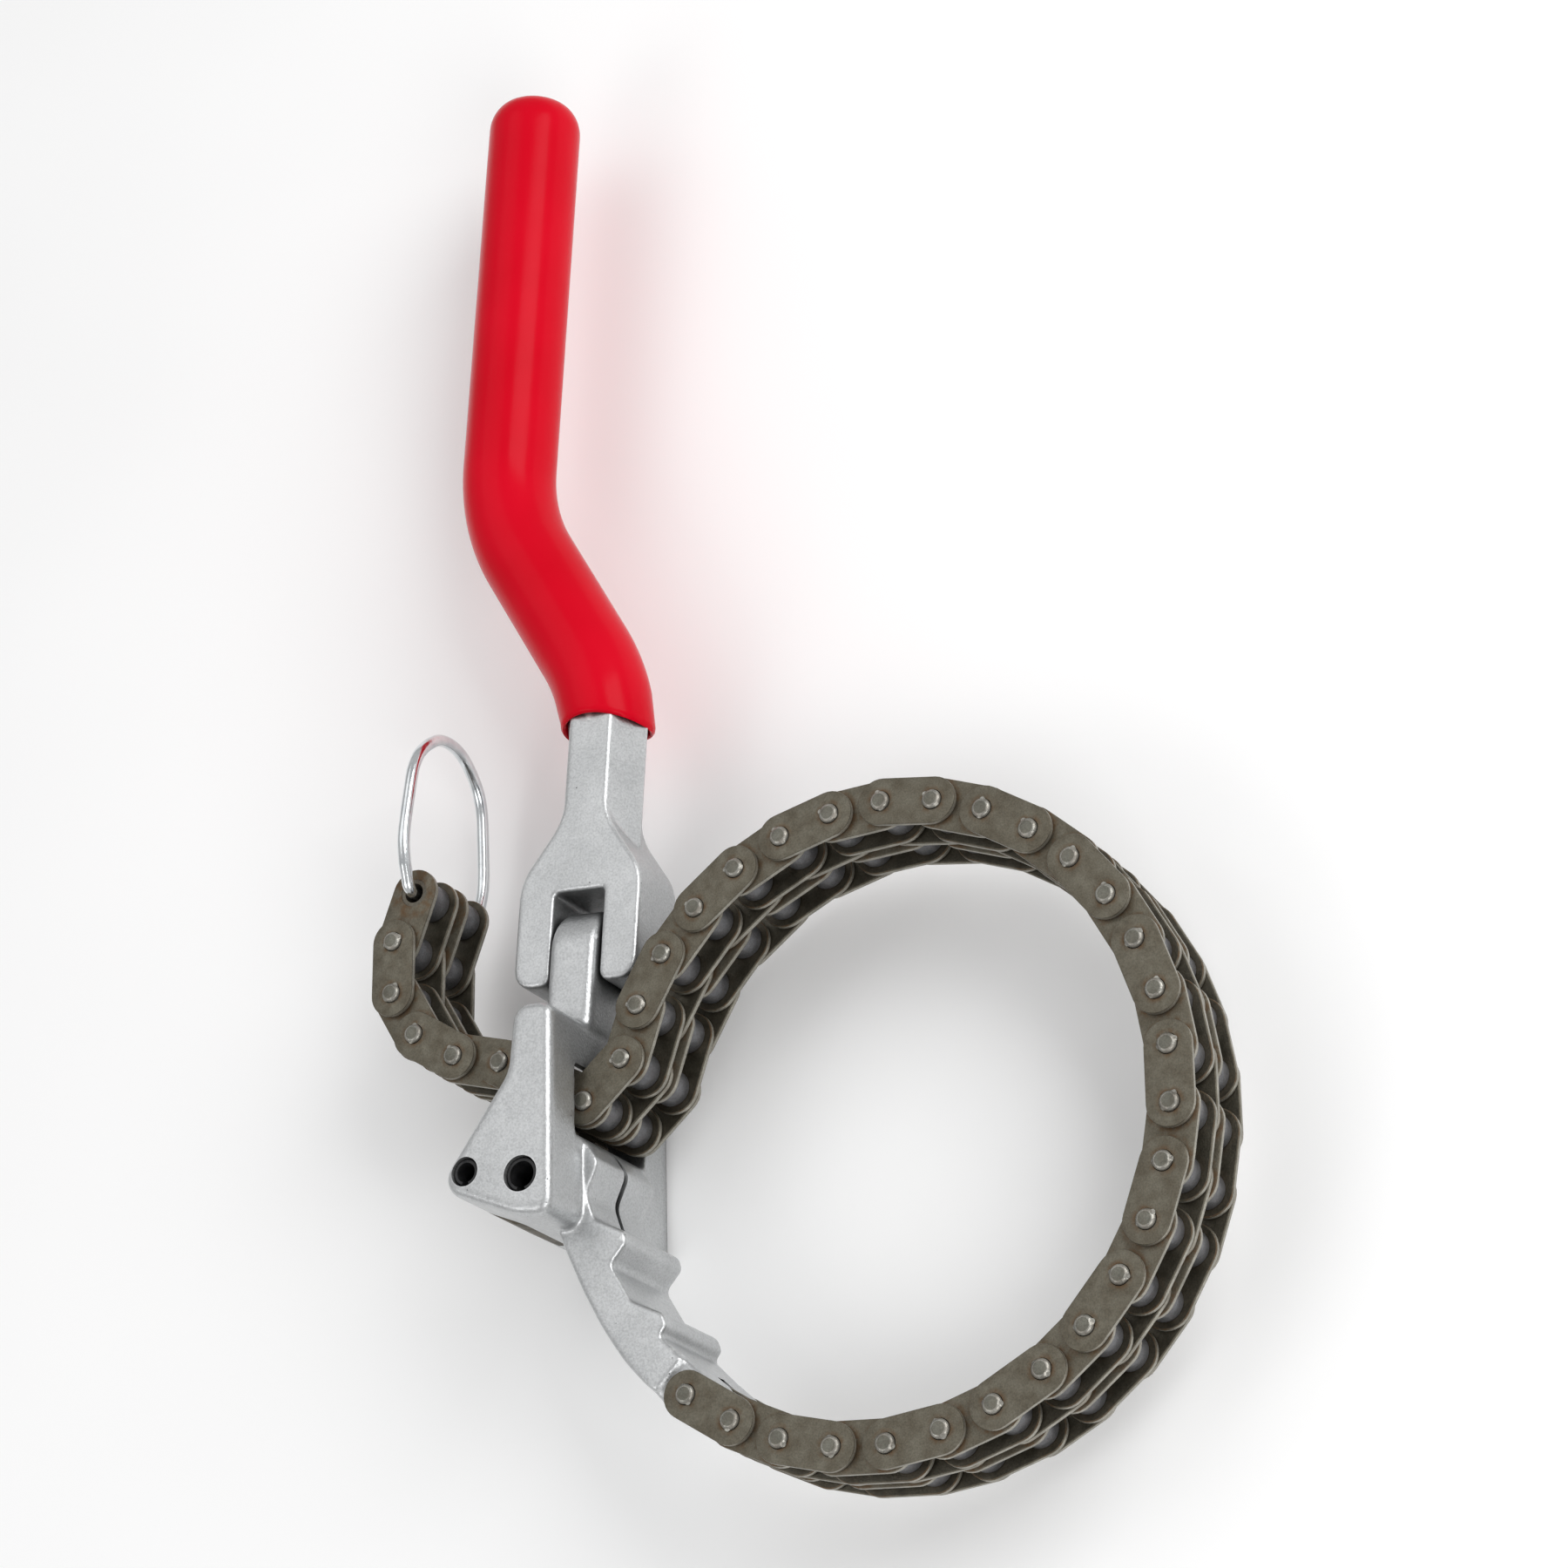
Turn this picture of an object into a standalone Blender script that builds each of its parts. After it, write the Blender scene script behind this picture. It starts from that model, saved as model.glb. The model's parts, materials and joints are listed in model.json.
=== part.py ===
"""Oil filter chain wrench: swivelling handle, cast head with a toothed jaw, duplex roller chain, pull ring.

The tool lies flat: X runs across the handle, Y along it, and Z is square to the plane of the chain loop.
Lengths are in metres. The layout is drawn about the handle's pivot, in the middle plane of the chain, and
is then moved as a whole, so that the world origin is at the bottom centre of the tool.
"""

import math

import bmesh
import bpy
from mathutils import Matrix, Vector

# Duplex roller chain, 12.7 mm pitch. Widths are distances from the middle plane of the chain.
PITCH = 0.0127
STRAND = 0.00696
ROLLER_RADIUS = 0.00425
PIN_RADIUS = 0.002225
BORE_RADIUS = 0.00295
INNER_PLATE_RADIUS = 0.0059
OUTER_PLATE_RADIUS = 0.00545
INNER_PLATE = (0.003875, 0.005475)
OUTER_PLATE = (0.01275, 0.01425)
PIN_END = 0.0153
LINKS = 36

# The route of the chain from its anchor in the jaw: (links, degrees of turn before each of them).
ANCHOR = (0.0379, -0.1067)
FIRST_LINK_ANGLE = -29.2
LOOP = ((1, 7.8), (9, 10.6), (8, 9.7), (9, 11.5))
CHANNEL = ((1, -29.9), (1, -71.7), (1, 0.0))
TAIL = ((1, 14.0), (1, -17.0), (1, -27.0), (1, -30.0), (1, -20.0))
CHANNEL_LINK = 30

# Pull ring: corners of its centre line (distance from the end bush, height, corner radius) for one half.
WIRE_RADIUS = 0.00145
RING_ANGLE = 91.5
RING_CORNERS = ((0.0, 0.0145, 0.0025), (0.01, 0.0188, 0.015), (0.034, 0.0155, 0.012), (0.042, 0.005, 0.008))

# Head casting. The channel for the chain is measured from the chain's line through the head, and it
# widens towards the loop.
HEAD_HALF = 0.028
CHANNEL_HALF = 0.0162
CHANNEL_UP = 0.0069
CHANNEL_DOWN = 0.0074
CHANNEL_REACH = 0.04
MOUTH = -0.0105
FLARE_RUN = 0.012
FLARE_RISE = 0.007
POCKET_HALF = 0.0108
POCKET_EDGE = 0.0053
POCKET_FLOOR = -0.0645
POCKET_TOP = -0.04
POCKET_REACH = -0.03
TONGUE_RADIUS = 0.011
TONGUE_HALF = 0.006
TONGUE_ROOT = -0.021
JAW_HALF = 0.0135
JAW_TIP_HALF = 0.0123
JAW_TIP_RADIUS = 0.0056
JAW_SLOT_HALF = 0.0015

# Slotted spring pins: the centre and the radius of each.
SPRING_PINS = {
    "spring_pin_outer": ((-0.0134, -0.0565), 0.00325),
    "spring_pin_inner": ((0.001, -0.0581), 0.004),
}
SPRING_PIN_WALL = 0.001
SPRING_PIN_SLIT = 34

# Chain lock: a base and saw teeth, measured from the chain's line through the head.
LOCK_HALF = 0.0104
LOCK_BASE_DROP = 0.0079
LOCK_BASE = (-0.0102, 0.0046)
LOCK_HEEL = (-0.0205, -0.0595)
LOCK_FLOOR = -0.0642
LOCK_RIB_HALF = 0.0033
LOCK_RIB_ENDS = (-0.0085, 0.008)
LOCK_RIB_FOOT = 0.012
TOOTH_COUNT = 3
TOOTH_PITCH = 0.0055
TOOTH_RISE = 0.0045
TOOTH_TOP = 0.0049
TOOTH_ROOT = 0.0067

# Handle.
PIVOT_PIN_RADIUS = 0.004
FORK_HALF = 0.0091
FORK_HALF_WIDTH = 0.016
FORK_FOOT = -0.0081
FORK_SHOULDER = 0.018
FORK_NECK = 0.0054
FORK_TOP = 0.034
SLOT_HALF_WIDTH = 0.0065
SLOT_TOP = 0.0144
HEX_ACROSS_FLATS = 0.0182
HEX_START = 0.02
BAR_ROOT = 0.015
ROD_RADIUS = 0.0092
SLEEVE_BORE = 0.00955
SLEEVE_END_WALL = 0.0045
RIM = 0.057
RIM_RADIUS = 0.0106
RIM_FLARE = 0.009
GRIP_RADIUS = 0.0114
GRIP_END = 0.2305
BEND_START = 0.052
BEND_RADIUS = 0.047
BEND_ANGLE = 33
BEND_STRAIGHT = 0.032

GAP = 0.0003
ROUND_SIDES = 16


def clear_scene():
    for item in list(bpy.data.objects):
        bpy.data.objects.remove(item, do_unlink=True)


def metal(name, colour, roughness, metallic=1.0):
    material = bpy.data.materials.new(name)
    material.use_nodes = True
    shader = material.node_tree.nodes["Principled BSDF"]
    shader.inputs["Base Color"].default_value = (*colour, 1.0)
    shader.inputs["Roughness"].default_value = roughness
    shader.inputs["Metallic"].default_value = metallic
    return material


def mesh_from(name, shape):
    """The mesh of a bmesh, shaded smooth except at its sharp edges."""
    bmesh.ops.recalc_face_normals(shape, faces=shape.faces)
    mesh = bpy.data.meshes.new(name)
    shape.to_mesh(mesh)
    shape.free()
    mesh.shade_smooth()
    mesh.set_sharp_from_angle(angle=math.radians(40))
    return mesh


def place(name, mesh, material, parent, at=(0.0, 0.0, 0.0), turn=0.0):
    """A new object, turned this many degrees about Z. A mesh that has no material yet gets this one."""
    item = bpy.data.objects.new(name, mesh)
    bpy.context.scene.collection.objects.link(item)
    if not mesh.materials:
        mesh.materials.append(material)
    item.parent = parent
    item.location = at
    item.rotation_euler = (0.0, 0.0, math.radians(turn))
    return item


def combine(item, shape, operation):
    """Joins a bmesh to an object, or cuts it out, by a Boolean modifier with a hidden helper."""
    helper = place(f"{item.name}_{operation.lower()}", mesh_from(item.name, shape), None, item.parent)
    helper.matrix_basis = item.matrix_basis
    helper.hide_render = True
    helper.display_type = "WIRE"
    modifier = item.modifiers.new(operation.title(), "BOOLEAN")
    modifier.operation = operation
    modifier.object = helper
    return item


def around(centre, radius, first, last, steps):
    """Points on an arc, in degrees from first to last."""
    for step in range(steps + 1):
        angle = math.radians(first + (last - first) * step / steps)
        yield centre[0] + radius * math.cos(angle), centre[1] + radius * math.sin(angle)


def circle(centre, radius, sides):
    return list(around(centre, radius, 0, 360 - 360 / sides, sides - 1))


def stadium(length, radius, steps):
    """Outline of a link plate with round ends about (0, 0) and (length, 0)."""
    near = list(around((0, 0), radius, 90, 270, steps))
    far = list(around((length, 0), radius, -90, 90, steps))
    return near + far


def rounded(corners, steps=3):
    """An outline from corners (x, y, radius), where each corner that has a radius becomes an arc."""
    outline = []
    for index, (x, y, radius) in enumerate(corners):
        here = Vector((x, y))
        before = (Vector(corners[index - 1][:2]) - here).normalized()
        after = (Vector(corners[(index + 1) % len(corners)][:2]) - here).normalized()
        if radius == 0:
            outline.append((x, y))
            continue
        half = before.angle(after) / 2
        start = here + before * radius / math.tan(half)
        end = here + after * radius / math.tan(half)
        centre = here + (before + after).normalized() * radius / math.sin(half)
        for step in range(steps + 1):
            spoke = (start - centre).lerp(end - centre, step / steps).normalized()
            outline.append(tuple(centre + spoke * radius))
    return outline


def prism(outline, low, high, axis="Z"):
    """A solid with this outline in XY, from low to high along Z, or with it in YZ and along X."""
    shape = bmesh.new()
    corners = [shape.verts.new((x, y, low)) for x, y in outline]
    face = shape.faces.new(corners)
    lifted = bmesh.ops.extrude_face_region(shape, geom=[face])["geom"]
    verts = [item for item in lifted if isinstance(item, bmesh.types.BMVert)]
    bmesh.ops.translate(shape, verts=verts, vec=(0, 0, high - low))
    if axis == "X":
        turned = Matrix(((0, 0, 1, 0), (1, 0, 0, 0), (0, 1, 0, 0), (0, 0, 0, 1)))
        bmesh.ops.transform(shape, matrix=turned, verts=shape.verts)
    return shape


def joined(*shapes):
    """One bmesh that holds several separate ones."""
    whole = bmesh.new()
    for shape in shapes:
        part = bpy.data.meshes.new("part")
        bmesh.ops.recalc_face_normals(shape, faces=shape.faces)
        shape.to_mesh(part)
        shape.free()
        whole.from_mesh(part)
        bpy.data.meshes.remove(part)
    return whole


def swept(rings, sides, close=False):
    """A skin over rings (centre, side direction, up direction, radius), closed on itself or by flat ends."""
    shape = bmesh.new()
    loops = []
    for centre, side, up, radius in rings:
        spokes = [Vector(point) for point in circle((0, 0), radius, sides)]
        loops.append([shape.verts.new(centre + spoke.x * side + spoke.y * up) for spoke in spokes])
    pairs = list(zip(loops, loops[1:]))
    if close:
        pairs.append((loops[-1], loops[0]))
    for first, second in pairs:
        for k in range(sides):
            shape.faces.new((first[k - 1], first[k], second[k], second[k - 1]))
    if not close:
        shape.faces.new(loops[0])
        shape.faces.new(loops[-1])
    return shape


def chain_route():
    """The place of each pin and the direction of each link in degrees, from anchor to end bush."""
    pins = [Vector(ANCHOR)]
    angles = [FIRST_LINK_ANGLE]
    for links, turn in LOOP + CHANNEL + TAIL:
        angles += [angles[-1] + turn * (k + 1) for k in range(links)]
    for angle in angles:
        direction = Vector((math.cos(math.radians(angle)), math.sin(math.radians(angle))))
        pins.append(pins[-1] + PITCH * direction)
    return pins, angles


def shared_mesh(item):
    """The evaluated mesh of an object, for its copies, and the object itself removed."""
    graph = bpy.context.evaluated_depsgraph_get()
    mesh = bpy.data.meshes.new_from_object(item.evaluated_get(graph))
    bpy.data.objects.remove(item, do_unlink=True)
    return mesh


def inner_link_mesh(steel):
    """Four plates on two bushes with their rollers. The pins of the next links turn in the bores."""
    low, high = INNER_PLATE
    spans = [(side * STRAND + low, side * STRAND + high) for side in (-1, 1)]
    spans += [(-second, -first) for first, second in spans]
    plates = [prism(stadium(PITCH, INNER_PLATE_RADIUS, 4), *span) for span in spans]
    reach = STRAND + (low + high) / 2
    rollers = [prism(circle((x, 0), ROLLER_RADIUS, 8), -reach, reach) for x in (0, PITCH)]
    bores = [prism(circle((x, 0), BORE_RADIUS, 6), -HEAD_HALF, HEAD_HALF) for x in (0, PITCH)]
    link = place("inner_link", mesh_from("inner_link", joined(*plates)), steel, None)
    combine(link, joined(*rollers), "UNION")
    combine(link, joined(*bores), "DIFFERENCE")
    return shared_mesh(link)


def outer_link_mesh(steel):
    """Two plates riveted on two pins."""
    low, high = OUTER_PLATE
    plates = [prism(stadium(PITCH, OUTER_PLATE_RADIUS, 4), *span) for span in ((low, high), (-high, -low))]
    pins = [prism(circle((x, 0), PIN_RADIUS, 8), -PIN_END, PIN_END) for x in (0, PITCH)]
    link = place("outer_link", mesh_from("outer_link", joined(*plates)), steel, None)
    combine(link, joined(*pins), "UNION")
    return shared_mesh(link)


def build_chain(steel, tool):
    pins, angles = chain_route()
    meshes = (inner_link_mesh(steel), outer_link_mesh(steel))
    for number in range(1, LINKS + 1):
        kind = ("inner", "outer")[number % 2]
        at = (*pins[number - 1], 0.0)
        place(f"chain_link_{number:02d}_{kind}", meshes[number % 2], steel, tool, at, angles[number - 1])
    return pins, angles


def build_ring(zinc, tool, end_bush):
    """A closed wire loop whose straight side runs through the end bush."""
    mirrored = tuple((x, -z, radius) for x, z, radius in reversed(RING_CORNERS))
    outline = rounded(RING_CORNERS + mirrored, 4)
    count = len(outline)
    rings = []
    for index, (x, z) in enumerate(outline):
        ahead = Vector(outline[(index + 1) % count]) - Vector(outline[index - 1])
        tangent = Vector((ahead.x, 0, ahead.y)).normalized()
        up = Vector((0, 1, 0))
        rings.append((Vector((x, 0, z)), tangent.cross(up), up, WIRE_RADIUS))
    ring = swept(rings, 8, close=True)
    place("pull_ring", mesh_from("pull_ring", ring), zinc, tool, (*end_bush, 0.0), RING_ANGLE)


def head_outline():
    """Side view of the head: the cheeks and, above them, the bridge that carries the handle."""
    return rounded((
        (-0.0042, -0.0183, 0.004), (-0.0047, -0.034, 0.008), (-0.0208, -0.0599, 0.0045),
        (-0.0005, -0.0672, 0.015), (0.0093, -0.0679, 0.0035), (0.0056, -0.0183, 0.003),
    ))


def jaw_outline():
    """The curved jaw: three teeth on the side of the filter, then the outer curve back to the head."""
    teeth = (
        (0.0062, -0.0475, 0), (0.0085, -0.0472, 0.001), (0.0123, -0.0522, 0.003), (0.0097, -0.0595, 0.004),
        (0.0121, -0.0654, 0), (0.0196, -0.0687, 0.0008), (0.0206, -0.0714, 0.001), (0.0169, -0.0762, 0.0015),
        (0.0227, -0.0847, 0.0015), (0.0305, -0.0879, 0.001), (0.0318, -0.0908, 0.001),
        (0.0302, -0.093, 0.001),
    )
    end = ((0.0362, -0.0986, 0), (0.03, -0.1057, 0))
    back = (
        (0.0273, -0.1039, 0), (0.0214, -0.0982, 0), (0.0154, -0.0904, 0), (0.0102, -0.0821, 0),
        (0.0051, -0.0726, 0), (0.0018, -0.066, 0), (0.0062, -0.0655, 0),
    )
    return rounded(teeth + end + back, 2)


def jaw_tip_outline():
    """The narrow end of the jaw, round about the chain's anchor pin."""
    end = list(around(ANCHOR, JAW_TIP_RADIUS, 60, -130, 8))
    return [(0.03, -0.0928), (0.0362, -0.0982)] + end + [(0.0273, -0.1035), (0.0245, -0.098)]


def channel_frame(pins, angles):
    """A point on the chain's line through the head, with the directions along it and up from it."""
    angle = math.radians(angles[CHANNEL_LINK - 1])
    along = Vector((math.cos(angle), math.sin(angle)))
    return pins[CHANNEL_LINK], along, Vector((along.y, -along.x))


def in_channel(frame, points):
    """Points given along the chain's line and up from it, as points of the layout."""
    middle, along, up = frame
    return [tuple(middle + x * along + y * up) for x, y in points]


def channel_outline(frame):
    return in_channel(frame, (
        (CHANNEL_REACH, -CHANNEL_DOWN), (-CHANNEL_REACH, -CHANNEL_DOWN), (-CHANNEL_REACH, CHANNEL_UP),
        (MOUTH - FLARE_RUN, CHANNEL_UP + FLARE_RISE), (MOUTH, CHANNEL_UP), (CHANNEL_REACH, CHANNEL_UP),
    ))


def pocket_outline():
    return (
        (POCKET_REACH, POCKET_TOP / 2), (POCKET_EDGE, POCKET_TOP),
        (POCKET_EDGE, POCKET_FLOOR), (POCKET_REACH, POCKET_FLOOR),
    )


def pin_holes():
    """Cutters for the spring pins' holes, through both cheeks."""
    circles = [circle(centre, radius + 2 * GAP, 12) for centre, radius in SPRING_PINS.values()]
    return joined(*[prism(outline, -1.1 * HEAD_HALF, 1.1 * HEAD_HALF) for outline in circles])


def build_head(casting, tool, frame):
    """The cheeks with the chain's channel and the lock's pocket between them, the jaw and the tongue."""
    cheeks = mesh_from("head_casting", prism(head_outline(), -HEAD_HALF, HEAD_HALF))
    head = place("head_casting", cheeks, casting, tool)
    combine(head, prism(channel_outline(frame), -CHANNEL_HALF, CHANNEL_HALF), "DIFFERENCE")
    combine(head, prism(pocket_outline(), -POCKET_HALF, POCKET_HALF), "DIFFERENCE")
    combine(head, prism(jaw_outline(), -JAW_HALF, JAW_HALF), "UNION")
    combine(head, prism(jaw_tip_outline(), -JAW_TIP_HALF, JAW_TIP_HALF), "UNION")
    link_slot = circle(ANCHOR, PITCH / 2 + GAP, 12)
    combine(head, prism(link_slot, -JAW_SLOT_HALF, JAW_SLOT_HALF), "DIFFERENCE")
    combine(head, prism(circle(ANCHOR, BORE_RADIUS, 8), -HEAD_HALF, HEAD_HALF), "DIFFERENCE")
    root = [(TONGUE_ROOT, TONGUE_RADIUS), (TONGUE_ROOT, -TONGUE_RADIUS)]
    tongue = list(around((0, 0), TONGUE_RADIUS, -90, 90, 10)) + root
    combine(head, prism(tongue, -TONGUE_HALF, TONGUE_HALF, "X"), "UNION")
    pivot_bore = circle((0, 0), PIVOT_PIN_RADIUS + 2 * GAP, 12)
    combine(head, prism(pivot_bore, -HEAD_HALF, HEAD_HALF, "X"), "DIFFERENCE")
    combine(head, pin_holes(), "DIFFERENCE")


def lock_rib_points():
    """Saw teeth along the chain, just under its rollers, on a foot inside the base of the lock."""
    first, last = LOCK_RIB_ENDS
    points = [(first, -LOCK_RIB_FOOT)]
    for tooth in range(TOOTH_COUNT):
        start = first + TOOTH_PITCH * tooth
        points.append((start, -TOOTH_ROOT))
        points.append((start + TOOTH_RISE, -TOOTH_TOP))
        points.append((start + TOOTH_PITCH - GAP / 3, -TOOTH_TOP))
    points.append((last, -LOCK_RIB_FOOT))
    return points


def build_lock(steel, tool, frame):
    """The toothed block in the head's pocket: one row of teeth for each strand of the chain."""
    right, left = in_channel(frame, [(x, -LOCK_BASE_DROP) for x in LOCK_BASE])
    outline = rounded((
        (*right, 0), (*left, 0.001), (*LOCK_HEEL, 0.004), (LOCK_HEEL[0] / 2, LOCK_FLOOR, 0.001),
        (right[0], LOCK_FLOOR, 0.001),
    ))
    base = mesh_from("chain_lock", prism(outline, -LOCK_HALF, LOCK_HALF))
    lock = place("chain_lock", base, steel, tool)
    rib = in_channel(frame, lock_rib_points())
    ribs = [prism(rib, z - LOCK_RIB_HALF, z + LOCK_RIB_HALF) for z in (-STRAND, STRAND)]
    combine(lock, joined(*ribs), "UNION")
    combine(lock, pin_holes(), "DIFFERENCE")


def build_spring_pins(steel, tool):
    """Slotted spring pins through both cheeks and the lock."""
    reach = HEAD_HALF - 2 * GAP
    slit = (-90 + SPRING_PIN_SLIT / 2, 270 - SPRING_PIN_SLIT / 2)
    for name, (centre, radius) in SPRING_PINS.items():
        outer = list(around((0, 0), radius, *slit, 11))
        inner = list(around((0, 0), radius - SPRING_PIN_WALL, *reversed(slit), 11))
        place(name, mesh_from(name, prism(outer + inner, -reach, reach)), steel, tool, (*centre, 0.0))


def handle_line(length):
    """The point and the direction of the handle's centre line, this far along it from its bend."""
    bend = math.radians(BEND_ANGLE)
    arc = BEND_RADIUS * bend
    first = min(max(length, 0), arc)
    straight = min(max(length - arc, 0), BEND_STRAIGHT)
    second = min(max(length - arc - BEND_STRAIGHT, 0), arc)
    tail = length - first - straight - second
    lean = (first - second) / BEND_RADIUS
    x = -BEND_RADIUS * (1 - math.cos(first / BEND_RADIUS)) - straight * math.sin(bend)
    y = BEND_START + BEND_RADIUS * math.sin(first / BEND_RADIUS) + straight * math.cos(bend) + tail
    x -= BEND_RADIUS * (math.cos(bend - second / BEND_RADIUS) - math.cos(bend))
    y += BEND_RADIUS * (math.sin(bend) - math.sin(bend - second / BEND_RADIUS))
    return Vector((x, y, 0)), Vector((-math.sin(lean), math.cos(lean), 0))


def handle_rings(stations):
    """Rings for a skin about the handle's centre line, from stations (length along it, radius)."""
    rings = []
    for length, radius in stations:
        centre, ahead = handle_line(length)
        rings.append((centre, ahead.cross(Vector((0, 0, 1))), Vector((0, 0, 1)), radius))
    return rings


def handle_stations(start, end, radius):
    """Stations of one radius: several round each bend, and only the ends where the line is straight."""
    arc = BEND_RADIUS * math.radians(BEND_ANGLE)
    bends = [arc * k / 4 for k in range(5)]
    lengths = bends + [arc + BEND_STRAIGHT + length for length in bends]
    return [(length, radius) for length in [start] + [s for s in lengths if start < s < end] + [end]]


def fork_outline():
    """Two prongs about the slot for the head's tongue, with shoulders that narrow to the shank."""
    right = (
        (SLOT_HALF_WIDTH, FORK_FOOT, 0.002), (FORK_HALF_WIDTH, FORK_FOOT, 0.004),
        (FORK_HALF_WIDTH, FORK_SHOULDER, 0.004), (FORK_NECK, FORK_TOP, 0.008),
    )
    left = tuple((-x, y, radius) for x, y, radius in reversed(right))
    slot_top = ((-SLOT_HALF_WIDTH, SLOT_TOP, 0.001), (SLOT_HALF_WIDTH, SLOT_TOP, 0.001))
    return rounded(right + left + slot_top)


def line_length():
    """How far along the handle's centre line the end of the bar is."""
    bends = 2 * BEND_RADIUS * math.radians(BEND_ANGLE) + BEND_STRAIGHT
    spare = bends - (handle_line(bends)[0].y - BEND_START)
    return GRIP_END - SLEEVE_END_WALL - BEND_START + spare


def build_handle(casting, tool):
    """The forged handle, from its fork to the end of the round bar."""
    fork = mesh_from("handle_forging", prism(fork_outline(), -FORK_HALF, FORK_HALF))
    handle = place("handle_forging", fork, casting, tool)
    corner = HEX_ACROSS_FLATS / math.sqrt(3)
    ends = (HEX_START, RIM - GAP)
    hexagon = [(Vector((0, y, 0)), Vector((1, 0, 0)), Vector((0, 0, 1)), corner) for y in ends]
    combine(handle, swept(hexagon, 6), "UNION")
    bar = handle_stations(RIM - BEND_START - BAR_ROOT, line_length(), ROD_RADIUS)
    combine(handle, swept(handle_rings(bar), ROUND_SIDES), "UNION")
    bore = circle((0, 0), PIVOT_PIN_RADIUS + GAP, 12)
    combine(handle, prism(bore, -HEAD_HALF, HEAD_HALF, "X"), "DIFFERENCE")


def build_grip(vinyl, tool):
    """The vinyl sleeve dipped over the bar, with a thin rim that is square to the shank and a domed end."""
    end = line_length()
    rim = RIM - BEND_START
    middle = handle_line(rim)[0]
    mouth = [(middle, Vector((1, 0, 0)), Vector((0, 0, 1)), radius) for radius in (SLEEVE_BORE, RIM_RADIUS)]
    inside = handle_stations(rim + RIM_FLARE / 2, end + GAP, SLEEVE_BORE)[::-1]
    outside = handle_stations(rim + RIM_FLARE, end - 0.0035, GRIP_RADIUS)
    dome = [(end + 0.0005, 0.0109), (end + 0.0033, 0.0088), (end + SLEEVE_END_WALL, 0.0052)]
    skin = swept(handle_rings(inside) + mouth + handle_rings(outside + dome), ROUND_SIDES)
    place("grip_sleeve", mesh_from("grip_sleeve", skin), vinyl, tool)


def build_pivot_pin(steel, tool):
    reach = FORK_HALF_WIDTH - GAP
    pin = prism(circle((0, 0), PIVOT_PIN_RADIUS, 12), -reach, reach, "X")
    place("pivot_pin", mesh_from("pivot_pin", pin), steel, tool)


def stand_on_floor(tool):
    """Moves the tool so that the bottom centre of its bounding box is at the world origin."""
    bpy.context.view_layer.update()
    graph = bpy.context.evaluated_depsgraph_get()
    corners = []
    for item in bpy.data.objects:
        if item.type == "MESH" and not item.hide_render:
            whole = item.evaluated_get(graph)
            corners += [whole.matrix_world @ vertex.co for vertex in whole.data.vertices]
    low = Vector([min(corner[k] for corner in corners) for k in range(3)])
    high = Vector([max(corner[k] for corner in corners) for k in range(3)])
    tool.location = (-(low.x + high.x) / 2, -(low.y + high.y) / 2, -low.z)


def main():
    clear_scene()
    casting = metal("cast_silver", (0.52, 0.53, 0.53), 0.38)
    steel = metal("chain_steel", (0.16, 0.14, 0.11), 0.5, 0.8)
    black_steel = metal("black_steel", (0.03, 0.03, 0.03), 0.45, 0.6)
    zinc = metal("zinc_wire", (0.75, 0.77, 0.78), 0.15)
    vinyl = metal("red_vinyl", (0.6, 0.005, 0.012), 0.22, 0.0)
    tool = bpy.data.objects.new("tool", None)
    bpy.context.scene.collection.objects.link(tool)
    pins, angles = build_chain(steel, tool)
    frame = channel_frame(pins, angles)
    build_ring(zinc, tool, pins[LINKS])
    build_head(casting, tool, frame)
    build_lock(steel, tool, frame)
    build_spring_pins(black_steel, tool)
    build_handle(casting, tool)
    build_grip(vinyl, tool)
    build_pivot_pin(casting, tool)
    stand_on_floor(tool)


main()
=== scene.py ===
"""Looks of the oil filter chain wrench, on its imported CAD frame.

Lengths are in metres. The shapes are drawn about the handle's pivot, as the CAD model's are: X runs across
the handle, Y along it, and Z is square to the plane of the chain loop.
"""

import json
import math

import bmesh
import bpy
from mathutils import Matrix, Vector


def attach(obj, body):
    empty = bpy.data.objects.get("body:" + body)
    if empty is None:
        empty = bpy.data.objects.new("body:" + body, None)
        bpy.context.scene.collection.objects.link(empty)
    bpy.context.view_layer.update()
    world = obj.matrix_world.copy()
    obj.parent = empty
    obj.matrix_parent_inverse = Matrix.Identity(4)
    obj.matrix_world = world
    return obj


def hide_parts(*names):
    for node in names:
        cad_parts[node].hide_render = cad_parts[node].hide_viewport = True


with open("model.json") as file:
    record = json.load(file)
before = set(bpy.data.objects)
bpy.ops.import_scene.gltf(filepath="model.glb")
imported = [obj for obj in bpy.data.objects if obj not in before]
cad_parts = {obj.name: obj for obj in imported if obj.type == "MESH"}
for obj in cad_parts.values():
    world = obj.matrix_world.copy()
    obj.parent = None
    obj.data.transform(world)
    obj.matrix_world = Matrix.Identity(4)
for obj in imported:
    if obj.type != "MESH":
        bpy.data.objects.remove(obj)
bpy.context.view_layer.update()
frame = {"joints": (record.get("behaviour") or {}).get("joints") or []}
JOINTS = {joint["name"]: Vector(joint["pos_m"]) for joint in frame["joints"]}
PIVOT = JOINTS["handle_swivel"]
LINKS = 36
PINS = [JOINTS[f"chain_hinge_{number:02d}"] for number in range(1, LINKS + 1)] + [JOINTS["ring_swing"]]

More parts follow.
